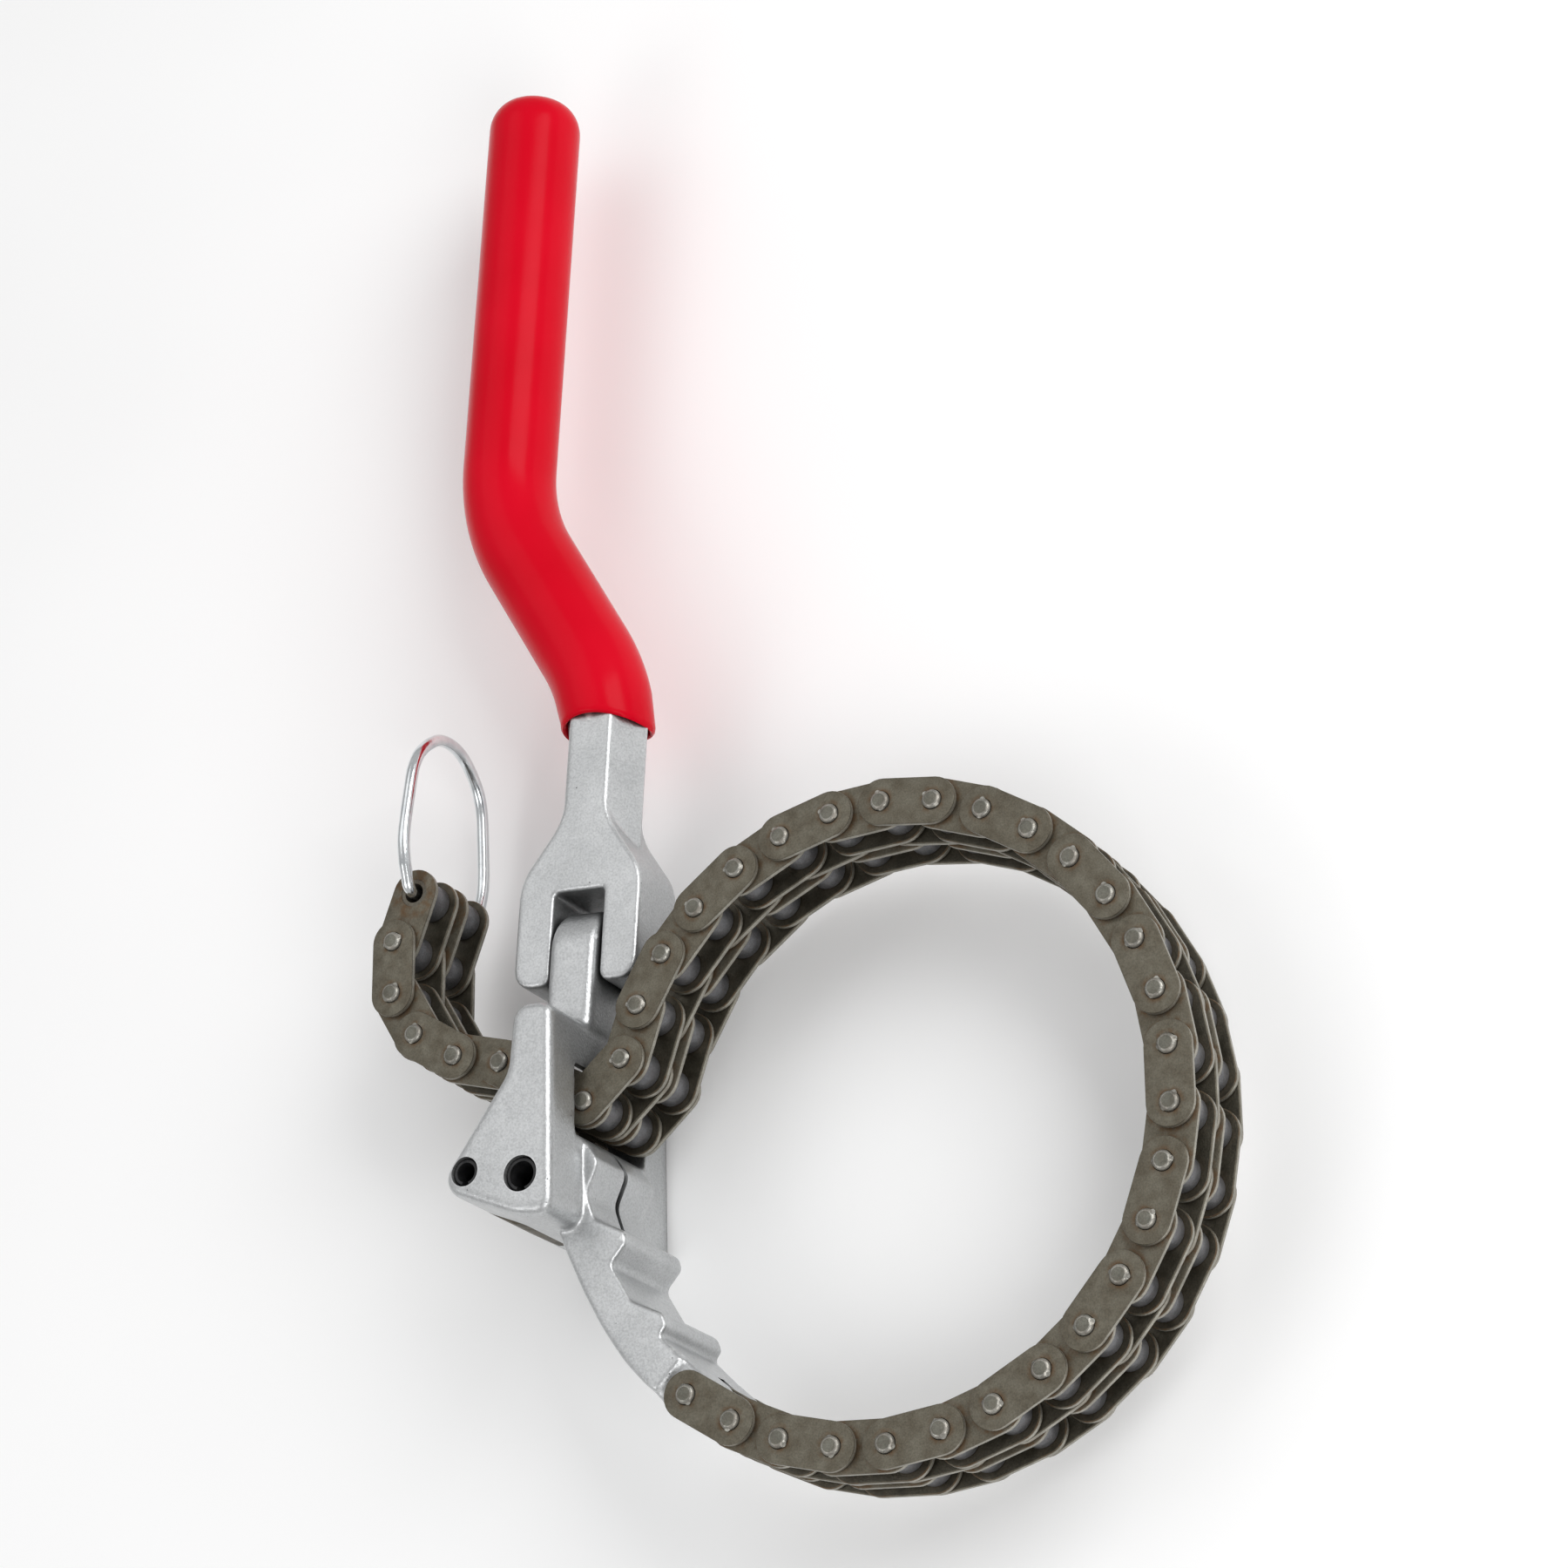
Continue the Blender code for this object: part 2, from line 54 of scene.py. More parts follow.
# Duplex roller chain. Widths are distances from the middle plane of the chain.
PITCH = 0.0127
STRAND = 0.00696
INNER_PLATE = (0.003875, 0.005475)
OUTER_PLATE = (0.01275, 0.01425)
MIDDLE_PLATE = (-0.00085, 0.00085)
INNER_PLATE_RADIUS = 0.0058
OUTER_PLATE_RADIUS = 0.00545
PLATE_EDGE = 0.00028
PIN_RADIUS = 0.002225
PIN_END = 0.0153
PIN_HOLE = 0.00238
PIN_SIDES = 40
BUSH_RADIUS = 0.0033
ROLLER_RADIUS = 0.00425
ROLLER_HALF = 0.0037

# A roller's rounded rim from its bore outwards: radius, distance below its end face.
ROLLER_RIM = ((0.0034, 0.0), (0.0039, 0.0), (0.00415, 0.00008), (ROLLER_RADIUS, 0.0003))

# A riveted pin's end: radius, depth below the end face, and how much a stake spreads and sinks the metal.
RIVETED_END = (
    (0.0015, 0.0, 0.0, 0.0), (0.00185, 0.00014, -0.04, 0.0001), (0.00212, 0.0004, -0.06, 0.0002),
    (PIN_RADIUS, 0.00062, 0.24, 0.0), (PIN_RADIUS, 0.00095, 0.2, 0.0), (0.0022, 0.001, 0.0, 0.0),
)

# The stakes on the ends of a link's two pins: direction in radians, strength.
STAKES = (((-0.6, 0.85), (2.4, 0.3)), ((-1.2, 0.75), (1.9, 0.4)))
STAKE_HALF_ANGLE = 0.3

# Head casting. The channel for the chain widens towards the loop.
HEAD_HALF = 0.028
CHEEK_EDGE = 0.0021
CHANNEL_HALF = 0.0162
CHANNEL_UP = 0.0069
CHANNEL_DOWN = 0.0074
CHANNEL_REACH = 0.04
MOUTH = -0.0105
FLARE_RUN = 0.012
FLARE_RISE = 0.007
POCKET_HALF = 0.0108
POCKET_EDGE = 0.0053
POCKET_FLOOR = -0.0645
POCKET_TOP = -0.04
POCKET_REACH = -0.03
JAW_HALF = 0.0135
JAW_EDGE = 0.0013
JAW_TIP_HALF = 0.0123
JAW_TIP_RADIUS = 0.0056
JAW_TIP_EDGE = 0.0008
JAW_SLOT_HALF = 0.0015
SLIT_HALF = 0.0009
ANCHOR = (PINS[0] - PIVOT).xy
TONGUE_RADIUS = 0.011
TONGUE_HALF = 0.006
TONGUE_ROOT = -0.021

# Spring pins: the centre and the radius of each.
SPRING_PINS = {
    "spring_pin_outer": (Vector((-0.0134, -0.0565)), 0.00325),
    "spring_pin_inner": (Vector((0.001, -0.0581)), 0.004),
}
SPRING_PIN_WALL = 0.0011
SPRING_PIN_HALF_SLIT = 17
SPRING_PIN_STEPS = 36

# Chain lock: a base and saw teeth, measured from the chain's line through the head.
LOCK_HALF = 0.0104
LOCK_EDGE = 0.0006
LOCK_BASE = (-0.0102, 0.0046)
LOCK_BASE_DROP = 0.0079
LOCK_HEEL = (-0.0205, -0.0595)
LOCK_FLOOR = -0.0642
LOCK_RIB_HALF = 0.0033
LOCK_RIB_ENDS = (-0.0085, 0.008)
LOCK_RIB_FOOT = 0.012
TOOTH_COUNT = 3
TOOTH_PITCH = 0.0055
TOOTH_RISE = 0.0045
TOOTH_LENGTH = 0.0054
TOOTH_TOP = 0.0049
TOOTH_ROOT = 0.0067

# Handle.
PIVOT_PIN_RADIUS = 0.004
FORK_HALF = 0.0091
FORK_HALF_WIDTH = 0.016
FORK_FOOT = -0.0081
FORK_EDGE = 0.0016
SLOT_HALF_WIDTH = 0.0065
SLOT_TOP = 0.0144
HEX_CORNER = 0.0182 / math.sqrt(3)
HEX_START = 0.02
BAR_RADIUS = 0.0092
BAR_LAP = 0.0008
RIM = 0.057
BEND_START = 0.052
BEND_RADIUS = 0.047
BEND_ANGLE = math.radians(33)
BEND_STRAIGHT = 0.032

# Grip. Its lip is higher at the front and the back of the shank than at the sides.
GRIP_RADIUS = 0.0114
GRIP_END = 0.2305
GRIP_WALL = 0.0048
LIP = (
    (0.0094, 0.003), (0.0097, 0.0001), (0.0101, -0.0007),
    (0.0106, -0.0009), (0.01105, -0.0003), (0.0112, 0.0008),
)
LIP_LENGTH = 0.0075
LIP_ARCH = 0.0018
ARCH_LENGTH = 0.008
DOME = 0.0078
DOME_CORNER = 0.0062
DOME_FLAT = 0.0046

# Pull ring: corners of its centre line (distance from the end bush, height, corner radius) for one half.
WIRE_RADIUS = 0.00145
RING_CORNERS = ((0.0, 0.0145, 0.0025), (0.01, 0.0188, 0.015), (0.034, 0.0155, 0.012), (0.042, 0.005, 0.008))
RING_ANGLE = math.radians(91.5)
RING_STRAIGHT = 0.006

# The soft lights: direction from the tool, distance, size and power.
SOFTBOXES = {
    "right_softbox": ((0.65, 0.38, 0.6), 1.1, 0.75, 6.4),
    "front_softbox": ((0.6, -0.55, 0.62), 1.1, 0.5, 2.9),
    "left_softbox": ((-0.5, -0.5, 0.7), 1.1, 0.5, 1.5),
    "top_softbox": ((-0.4, 0.34, 0.85), 1.3, 1.0, 2.3),
}
WORLD_STRENGTH = 0.5

GAP = 0.0003
CAST_VOXEL = 0.00042
RUST = (0.11, 0.056, 0.02)


# ---------------------------------------------------------------- materials


class Shading:
    """Builds one procedural material: noises and ramps in the coordinates of the piece itself."""

    def __init__(self, name, roughness, metallic):
        self.material = bpy.data.materials.new(name)
        self.material.use_nodes = True
        self.tree = self.material.node_tree
        self.shader = self.tree.nodes["Principled BSDF"]
        self.shader.inputs["Metallic"].default_value = metallic
        self.shader.inputs["Roughness"].default_value = roughness
        coordinates = self.tree.nodes.new("ShaderNodeTexCoord")
        info = self.tree.nodes.new("ShaderNodeObjectInfo")
        shift = self.tree.nodes.new("ShaderNodeVectorMath")
        shift.operation = "ADD"
        self.tree.links.new(coordinates.outputs["Object"], shift.inputs[0])
        self.tree.links.new(info.outputs["Random"], shift.inputs[1])
        self.plain = coordinates.outputs["Object"]
        self.shifted = shift.outputs["Vector"]

    def noise(self, per_metre, detail=3.0, stretch=None):
        texture = self.tree.nodes.new("ShaderNodeTexNoise")
        texture.inputs["Scale"].default_value = per_metre
        texture.inputs["Detail"].default_value = detail
        source = self.shifted
        if stretch:
            mapping = self.tree.nodes.new("ShaderNodeMapping")
            mapping.inputs["Scale"].default_value = stretch
            self.tree.links.new(source, mapping.inputs["Vector"])
            source = mapping.outputs["Vector"]
        self.tree.links.new(source, texture.inputs["Vector"])
        return texture.outputs["Fac"]

    def cells(self, per_metre):
        texture = self.tree.nodes.new("ShaderNodeTexVoronoi")
        texture.inputs["Scale"].default_value = per_metre
        self.tree.links.new(self.shifted, texture.inputs["Vector"])
        return texture.outputs["Distance"]

    def pin_distance(self):
        """The distance from the nearer pin of a link, in units of 10 mm."""
        flat = self.tree.nodes.new("ShaderNodeMapping")
        flat.inputs["Scale"].default_value = (100.0, 100.0, 0.0)
        self.tree.links.new(self.plain, flat.inputs["Vector"])
        nearer = self.tree.nodes.new("ShaderNodeMath")
        nearer.operation = "MINIMUM"
        for index, x in enumerate((0.0, 100 * PITCH)):
            node = self.tree.nodes.new("ShaderNodeVectorMath")
            node.operation = "DISTANCE"
            node.inputs[1].default_value = (x, 0.0, 0.0)
            self.tree.links.new(flat.outputs["Vector"], node.inputs[0])
            self.tree.links.new(node.outputs["Value"], nearer.inputs[index])
        return nearer.outputs["Value"]

    def openness(self, reach):
        """How open the surface is within this reach: low in slots and holes, 1 on a free face."""
        node = self.tree.nodes.new("ShaderNodeAmbientOcclusion")
        node.samples = 6
        node.inputs["Distance"].default_value = reach
        return node.outputs["AO"]

    def pointiness(self):
        return self.tree.nodes.new("ShaderNodeNewGeometry").outputs["Pointiness"]

    def ramp(self, source, *stops):
        """A ramp from stops (place, grey value or colour)."""
        ramp = self.tree.nodes.new("ShaderNodeValToRGB")
        elements = ramp.color_ramp.elements
        while len(elements) < len(stops):
            elements.new(0.5)
        for element, (place, value) in zip(elements, stops):
            element.position = place
            grey = isinstance(value, (int, float))
            element.color = (value, value, value, 1.0) if grey else (*value, 1.0)
        self.tree.links.new(source, ramp.inputs["Fac"])
        return ramp.outputs["Color"]

    def mix(self, factor, first, second, blend="MIX"):
        node = self.tree.nodes.new("ShaderNodeMix")
        node.data_type = "RGBA"
        node.blend_type = blend
        sockets = (node.inputs["Factor"], node.inputs["A"], node.inputs["B"])
        for socket, value in zip(sockets, (factor, first, second)):
            if isinstance(value, bpy.types.NodeSocket):
                self.tree.links.new(value, socket)
            elif isinstance(value, (int, float)):
                socket.default_value = value
            else:
                socket.default_value = (*value, 1.0)
        return node.outputs["Result"]

    def colour(self, source):
        self.tree.links.new(source, self.shader.inputs["Base Color"])

    def roughness(self, source):
        self.tree.links.new(source, self.shader.inputs["Roughness"])

    def bump(self, source, height, below=None):
        node = self.tree.nodes.new("ShaderNodeBump")
        node.inputs["Distance"].default_value = height
        self.tree.links.new(source, node.inputs["Height"])
        if below:
            self.tree.links.new(below, node.inputs["Normal"])
        self.tree.links.new(node.outputs["Normal"], self.shader.inputs["Normal"])
        return node.outputs["Normal"]


def cast_silver():
    """Satin silver forging: a fine blasted grain, faint mottling, a few small pits, painted shade in
    recesses and lighter convex edges as a painted highlight.
    """
    s = Shading("cast_silver", 0.4, 0.8)
    tone = s.ramp(s.noise(90, 3), (0.3, (0.51, 0.52, 0.525)), (0.7, (0.58, 0.59, 0.595)))
    grain = s.ramp(s.noise(2000, 3), (0.34, 0.82), (0.6, 1.0))
    tone = s.mix(1.0, tone, grain, "MULTIPLY")
    pits = s.ramp(s.cells(420), (0.04, 0.3), (0.09, 1.0))
    where = s.ramp(s.noise(120, 1), (0.57, 1.0), (0.62, 0.0))
    pits = s.mix(where, pits, (1.0, 1.0, 1.0))
    tone = s.mix(1.0, tone, pits, "MULTIPLY")
    # Painted shade: darker in slots, holes and crevices, where the ambient occlusion finds little open
    # space.
    painted_recess_shade = s.ramp(s.openness(0.009), (0.3, 0.22), (0.75, 1.0))
    tone = s.mix(1.0, tone, painted_recess_shade, "MULTIPLY")
    # Painted highlight: convex edges and fillets are painted a lighter silver.
    edge = s.ramp(s.pointiness(), (0.51, 0.0), (0.58, 0.7))
    s.colour(s.mix(edge, tone, (0.8, 0.81, 0.81)))
    s.roughness(s.ramp(s.noise(700, 3), (0.3, 0.3), (0.7, 0.42)))
    below = s.bump(s.noise(1500, 3), 0.00008)
    s.bump(pits, 0.00008, below)
    return s.material


def chain_metal(name, dark, light, roughness, near=(0.5, 0.6), amount=0.1):
    """Oiled steel with a fine grain, faint scratches and a rusty tint.

    The tint is full up to the first of the near distances from a pin and gone from the second on.
    """
    s = Shading(name, roughness, 0.6)
    tone = s.ramp(s.noise(300, 3), (0.3, dark), (0.7, light))
    grain = s.ramp(s.noise(2600, 4), (0.32, 0.72), (0.62, 1.0))
    tone = s.mix(1.0, tone, grain, "MULTIPLY")
    patches = s.ramp(s.noise(500, 4), (0.42, 0.15), (0.62, 1.0))
    ring = s.ramp(s.pin_distance(), (near[0], amount), (near[1], 0.0))
    tint = s.mix(1.0, ring, patches, "MULTIPLY")
    s.colour(s.mix(tint, tone, RUST))
    s.roughness(s.ramp(s.noise(500, 3), (0.3, roughness - 0.07), (0.7, roughness + 0.09)))
    below = s.bump(s.noise(900, 2, (1.0, 7.0, 1.0)), 0.00003)
    s.bump(s.noise(2200, 4), 0.00006, below)
    return s.material


def red_vinyl():
    """Dipped vinyl: deep red with faint flow marks along the bar."""
    s = Shading("red_vinyl", 0.3, 0.0)
    s.colour(s.ramp(s.noise(40, 2), (0.3, (0.56, 0.001, 0.011)), (0.7, (0.62, 0.002, 0.015))))
    s.roughness(s.ramp(s.noise(90, 2), (0.3, 0.18), (0.7, 0.25)))
    s.shader.inputs["Specular IOR Level"].default_value = 0.07
    below = s.bump(s.noise(60, 1, (1.0, 0.25, 1.0)), 0.0001)
    s.bump(s.noise(700, 2), 0.000006, below)
    return s.material


def zinc_wire():
    """Bright drawn wire under zinc, with fine lines along it."""
    s = Shading("zinc_wire", 0.16, 1.0)
    s.colour(s.ramp(s.noise(300, 3), (0.3, (0.66, 0.69, 0.71)), (0.7, (0.8, 0.82, 0.83))))
    s.roughness(s.ramp(s.noise(800, 2), (0.3, 0.1), (0.7, 0.24)))
    s.bump(s.noise(1500, 2, (1.0, 0.08, 0.6)), 0.00002)
    return s.material


def black_steel():
    """Blackened spring steel."""
    s = Shading("black_steel", 0.4, 0.55)
    s.colour(s.ramp(s.noise(500, 3), (0.3, (0.012, 0.012, 0.013)), (0.7, (0.035, 0.035, 0.036))))
    s.roughness(s.ramp(s.noise(900, 2), (0.3, 0.32), (0.7, 0.5)))
    s.bump(s.noise(2000, 2), 0.00004)
    return s.material


def floor_paper():
    s = Shading("floor_paper", 0.85, 0.0)
    s.colour(s.ramp(s.noise(6, 2), (0.3, (0.93, 0.93, 0.93)), (0.7, (0.96, 0.96, 0.96))))
    return s.material


# ---------------------------------------------------------------- mesh tools


def finished(shape, name, sharp=38):
    """The mesh of a bmesh, shaded smooth except at its sharp edges."""
    bmesh.ops.recalc_face_normals(shape, faces=shape.faces)
    mesh = bpy.data.meshes.new(name)
    shape.to_mesh(mesh)
    shape.free()
    mesh.shade_smooth()
    mesh.set_sharp_from_angle(angle=math.radians(sharp))
    return mesh


def placed(name, mesh, materials, at=PIVOT, turn=0.0):
    """A new object. A mesh that has no materials yet gets these."""
    item = bpy.data.objects.new(name, mesh)
    bpy.context.scene.collection.objects.link(item)
    if not mesh.materials:
        for material in materials:
            mesh.materials.append(material)
    item.location = at
    item.rotation_euler = (0.0, 0.0, turn)
    return item


def piece(name, mesh, materials, body, nodes=(), at=PIVOT, turn=0.0):
    """A piece of the tool that rides on this body and stands for these CAD nodes."""
    item = placed(name, mesh, materials, at, turn)
    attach(item, body)
    if nodes:
        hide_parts(*nodes)
    return item


def around(centre, radius, first, last, steps):
    """Points on an arc, in degrees from first to last."""
    for step in range(steps + 1):
        angle = math.radians(first + (last - first) * step / steps)
        yield centre[0] + radius * math.cos(angle), centre[1] + radius * math.sin(angle)


def circle(centre, radius, sides):
    return list(around(centre, radius, 0, 360 - 360 / sides, sides - 1))


def stadium(length, radius, steps=16):
    """Outline of a link plate with round ends about (0, 0) and (length, 0)."""
    near = list(around((0, 0), radius, 90, 270, steps))
    far = list(around((length, 0), radius, -90, 90, steps))
    return near + far


def rounded(corners, steps=8):
    """An outline from corners (x, y, radius), where each corner that has a radius becomes an arc."""
    outline = []
    for index, (x, y, radius) in enumerate(corners):
        here = Vector((x, y))
        before = (Vector(corners[index - 1][:2]) - here).normalized()
        after = (Vector(corners[(index + 1) % len(corners)][:2]) - here).normalized()
        if radius == 0:
            outline.append((x, y))
            continue
        half = before.angle(after) / 2
        start = here + before * radius / math.tan(half)
        end = here + after * radius / math.tan(half)
        centre = here + (before + after).normalized() * radius / math.sin(half)
        for step in range(steps + 1):
            spoke = (start - centre).lerp(end - centre, step / steps).normalized()
            outline.append(tuple(centre + spoke * radius))
    return outline


def evened(outline, count):
    """A closed outline as this many evenly spaced points."""
    points = [Vector(point) for point in outline]
    points.append(points[0])
    reach = [0.0]
    for first, second in zip(points, points[1:]):
        reach.append(reach[-1] + (second - first).length)
    even = []
    span = 0
    for k in range(count):
        length = reach[-1] * k / count
        while reach[span + 1] <= length:
            span += 1
        part = (length - reach[span]) / (reach[span + 1] - reach[span])
        even.append(points[span].lerp(points[span + 1], part))
    return even


def prism(outline, low, high, axis="Z", bevel=0.0):
    """A solid with this outline in XY, along Z, or with it in YZ, along X. Its rims may be rounded."""
    shape = bmesh.new()
    face = shape.faces.new([shape.verts.new((x, y, low)) for x, y in outline])
    lifted = bmesh.ops.extrude_face_region(shape, geom=[face])["geom"]
    verts = [item for item in lifted if isinstance(item, bmesh.types.BMVert)]
    bmesh.ops.translate(shape, verts=verts, vec=(0, 0, high - low))
    if bevel:
        bmesh.ops.recalc_face_normals(shape, faces=shape.faces)
        rims = [edge for edge in shape.edges if abs(edge.verts[0].co.z - edge.verts[1].co.z) < 1e-7]
        bmesh.ops.bevel(
            shape, geom=rims, offset=bevel, segments=4, profile=0.5, affect="EDGES", clamp_overlap=True
        )
    if axis == "X":
        turned = Matrix(((0, 0, 1, 0), (1, 0, 0, 0), (0, 1, 0, 0), (0, 0, 0, 1)))
        bmesh.ops.transform(shape, matrix=turned, verts=shape.verts)
    return shape


def ring_of(shape, points):
    return [shape.verts.new(point) for point in points]


def bridge(shape, first, second, material=0):
    """A band of faces between two rings of as many points."""
    for k in range(len(first)):
        face = shape.faces.new((first[k - 1], first[k], second[k], second[k - 1]))
        face.material_index = material


def turned_solid(shape, profile, centre, sides, material=0, bored=False):
    """A turned solid about a line along Z, from its profile (radius, height), bored or with flat ends."""
    rings = [ring_of(shape, [(x, y, z) for x, y in circle(centre, radius, sides)]) for radius, z in profile]
    for first, second in zip(rings, rings[1:]):
        bridge(shape, first, second, material)
    if bored:
        bridge(shape, rings[-1], rings[0], material)
        return
    for end in (rings[0], rings[-1]):
        shape.faces.new(end).material_index = material


def swept(rings, sides, close=False):
    """A skin over rings (centre, side direction, up direction, radius), closed or with flat ends."""
    shape = bmesh.new()
    loops = []
    for centre, side, up, radius in rings:
        spokes = circle((0, 0), radius, sides)
        loops.append(ring_of(shape, [centre + x * side + y * up for x, y in spokes]))
    for first, second in zip(loops, loops[1:]):
        bridge(shape, first, second)
    if close:
        bridge(shape, loops[-1], loops[0])
    else:
        shape.faces.new(loops[0])
        shape.faces.new(loops[-1])
    return shape


def baked(item):
    """The object's mesh as its modifiers leave it. The object is removed."""
    graph = bpy.context.evaluated_depsgraph_get()
    mesh = bpy.data.meshes.new_from_object(item.evaluated_get(graph))
    bpy.data.objects.remove(item, do_unlink=True)
    return mesh


def combined(mesh, cuts):
    """The mesh after each (operation, bmesh) in turn, by exact Booleans."""
    for operation, shape in cuts:
        item = placed("work", mesh, ())
        helper = placed("helper", finished(shape, "helper"), ())
        modifier = item.modifiers.new("cut", "BOOLEAN")
        modifier.operation = operation
        modifier.object = helper
        mesh = baked(item)
        bpy.data.objects.remove(helper, do_unlink=True)
    return mesh


def softened(mesh, rounds):
    """A casting's surface: even facets, with every edge and corner blended by a small fillet."""
    item = placed("work", mesh, ())
    remesh = item.modifiers.new("remesh", "REMESH")
    remesh.mode = "VOXEL"
    remesh.voxel_size = CAST_VOXEL
    smooth = item.modifiers.new("smooth", "SMOOTH")
    smooth.factor = 0.5
    smooth.iterations = rounds
    return baked(item)


def smooth_shaded(mesh, sharp=50):
    mesh.shade_smooth()
    mesh.set_sharp_from_angle(angle=math.radians(sharp))
    return mesh


# ---------------------------------------------------------------- chain


def add_plate(shape, span, radius, hole, painted_shade_sides):
    """A link plate with two holes and rounded rims.

    Its rim has the second material, lighter partly as a sheared edge and partly as a painted highlight, and
    a flat face at one of the heights listed in the last argument has the third, darkened as painted shade
    between the plates.
    """
    low, high = span
    angles = (math.pi / 2, math.pi / 4, 0)
    steps = [(PLATE_EDGE * (1 - math.cos(a)), PLATE_EDGE * (1 - math.sin(a))) for a in angles]
    levels = [(inset, low + drop) for inset, drop in steps]
    levels += [(inset, high - drop) for inset, drop in reversed(steps)]
    rings = [ring_of(shape, [(x, y, z) for x, y in stadium(PITCH, radius - inset)]) for inset, z in levels]
    for first, second in zip(rings, rings[1:]):
        bridge(shape, first, second, 1 if first is rings[len(steps) - 1] else 0)
    caps = {low: [rings[0]], high: [rings[-1]]}
    for x in (0, PITCH):
        ends = {z: ring_of(shape, [(*point, z) for point in circle((x, 0), hole, 24)]) for z in (low, high)}
        bridge(shape, ends[low], ends[high])
        for z, ring in ends.items():
            caps[z].append(ring)
    for z, cap in caps.items():
        edges = [shape.edges.get((ring[k - 1], ring[k])) for ring in cap for k in range(len(ring))]
        for face in bmesh.ops.triangle_fill(shape, edges=edges, use_beauty=True)["geom"]:
            if isinstance(face, bmesh.types.BMFace):
                face.material_index = 2 if z in painted_shade_sides else 0


def outer_plates():
    """Two outer plates and the plate between the strands."""
    shape = bmesh.new()
    low, high = OUTER_PLATE
    for span in ((-high, -low), MIDDLE_PLATE, (low, high)):
        # The faces towards the middle and both faces of the middle plate get the painted shade.
        add_plate(shape, span, OUTER_PLATE_RADIUS, PIN_HOLE, (-low, *MIDDLE_PLATE, low))
    return finished(shape, "outer_plates")


def inner_plates():
    """Two plates for each strand, with painted shade on the sides that face its rollers."""
    shape = bmesh.new()
    low, high = INNER_PLATE
    for middle in (-STRAND, STRAND):
        inside = (middle - low, middle + low)
        for span in ((middle - high, middle - low), (middle + low, middle + high)):
            add_plate(shape, span, INNER_PLATE_RADIUS, BUSH_RADIUS + GAP / 6, inside)
    return finished(shape, "inner_plates")


def pin_ring(x, stakes, side, radius, drop, spread, sink):
    """A ring of points about the pin at x, near one of its ends, with the metal moved by the stakes."""
    points = []
    for k in range(PIN_SIDES):
        angle = math.tau * k / PIN_SIDES
        depth = 0.0
        for stake, strength in stakes:
            offset = math.remainder(angle - stake, math.tau) / STAKE_HALF_ANGLE
            depth = max(depth, strength * (1 - offset ** 2))
        reach = radius * (1 + spread * depth)
        height = side * (PIN_END - drop - sink * depth)
        points.append((x + reach * math.cos(angle), reach * math.sin(angle), height))
    return points


def link_pins():
    """Two riveted pins. Each end is chamfered, and two stakes spread its rim over the plate."""
    shape = bmesh.new()
    for x, stakes in zip((0, PITCH), STAKES):
        rings = [ring_of(shape, pin_ring(x, stakes, -1, *level)) for level in RIVETED_END]
        rings += [ring_of(shape, pin_ring(x, stakes, 1, *level)) for level in reversed(RIVETED_END)]
        # The sides and chamfered rims take the second material, lighter as a painted highlight.
        for first, second in zip(rings, rings[1:]):
            bridge(shape, first, second, 1)
        for cap in (rings[0], rings[-1]):
            shape.faces.new(cap)
    return finished(shape, "link_pins", 32)


def link_rollers():
    """A bush and a roller about each end of both strands."""
    shape = bmesh.new()
    reach = INNER_PLATE[1] - GAP / 3
    for middle in (-STRAND, STRAND):
        bush = [(BUSH_RADIUS, middle - reach), (BUSH_RADIUS, middle + reach)]
        bush += [(PIN_HOLE, middle + reach), (PIN_HOLE, middle - reach)]
        roller = [(radius, middle - ROLLER_HALF + drop) for radius, drop in ROLLER_RIM]
        roller += [(radius, middle + ROLLER_HALF - drop) for radius, drop in reversed(ROLLER_RIM)]
        for x in (0, PITCH):
            turned_solid(shape, bush, (x, 0), 28, 1, bored=True)
            turned_solid(shape, roller, (x, 0), 36, 0, bored=True)
    return finished(shape, "link_rollers")


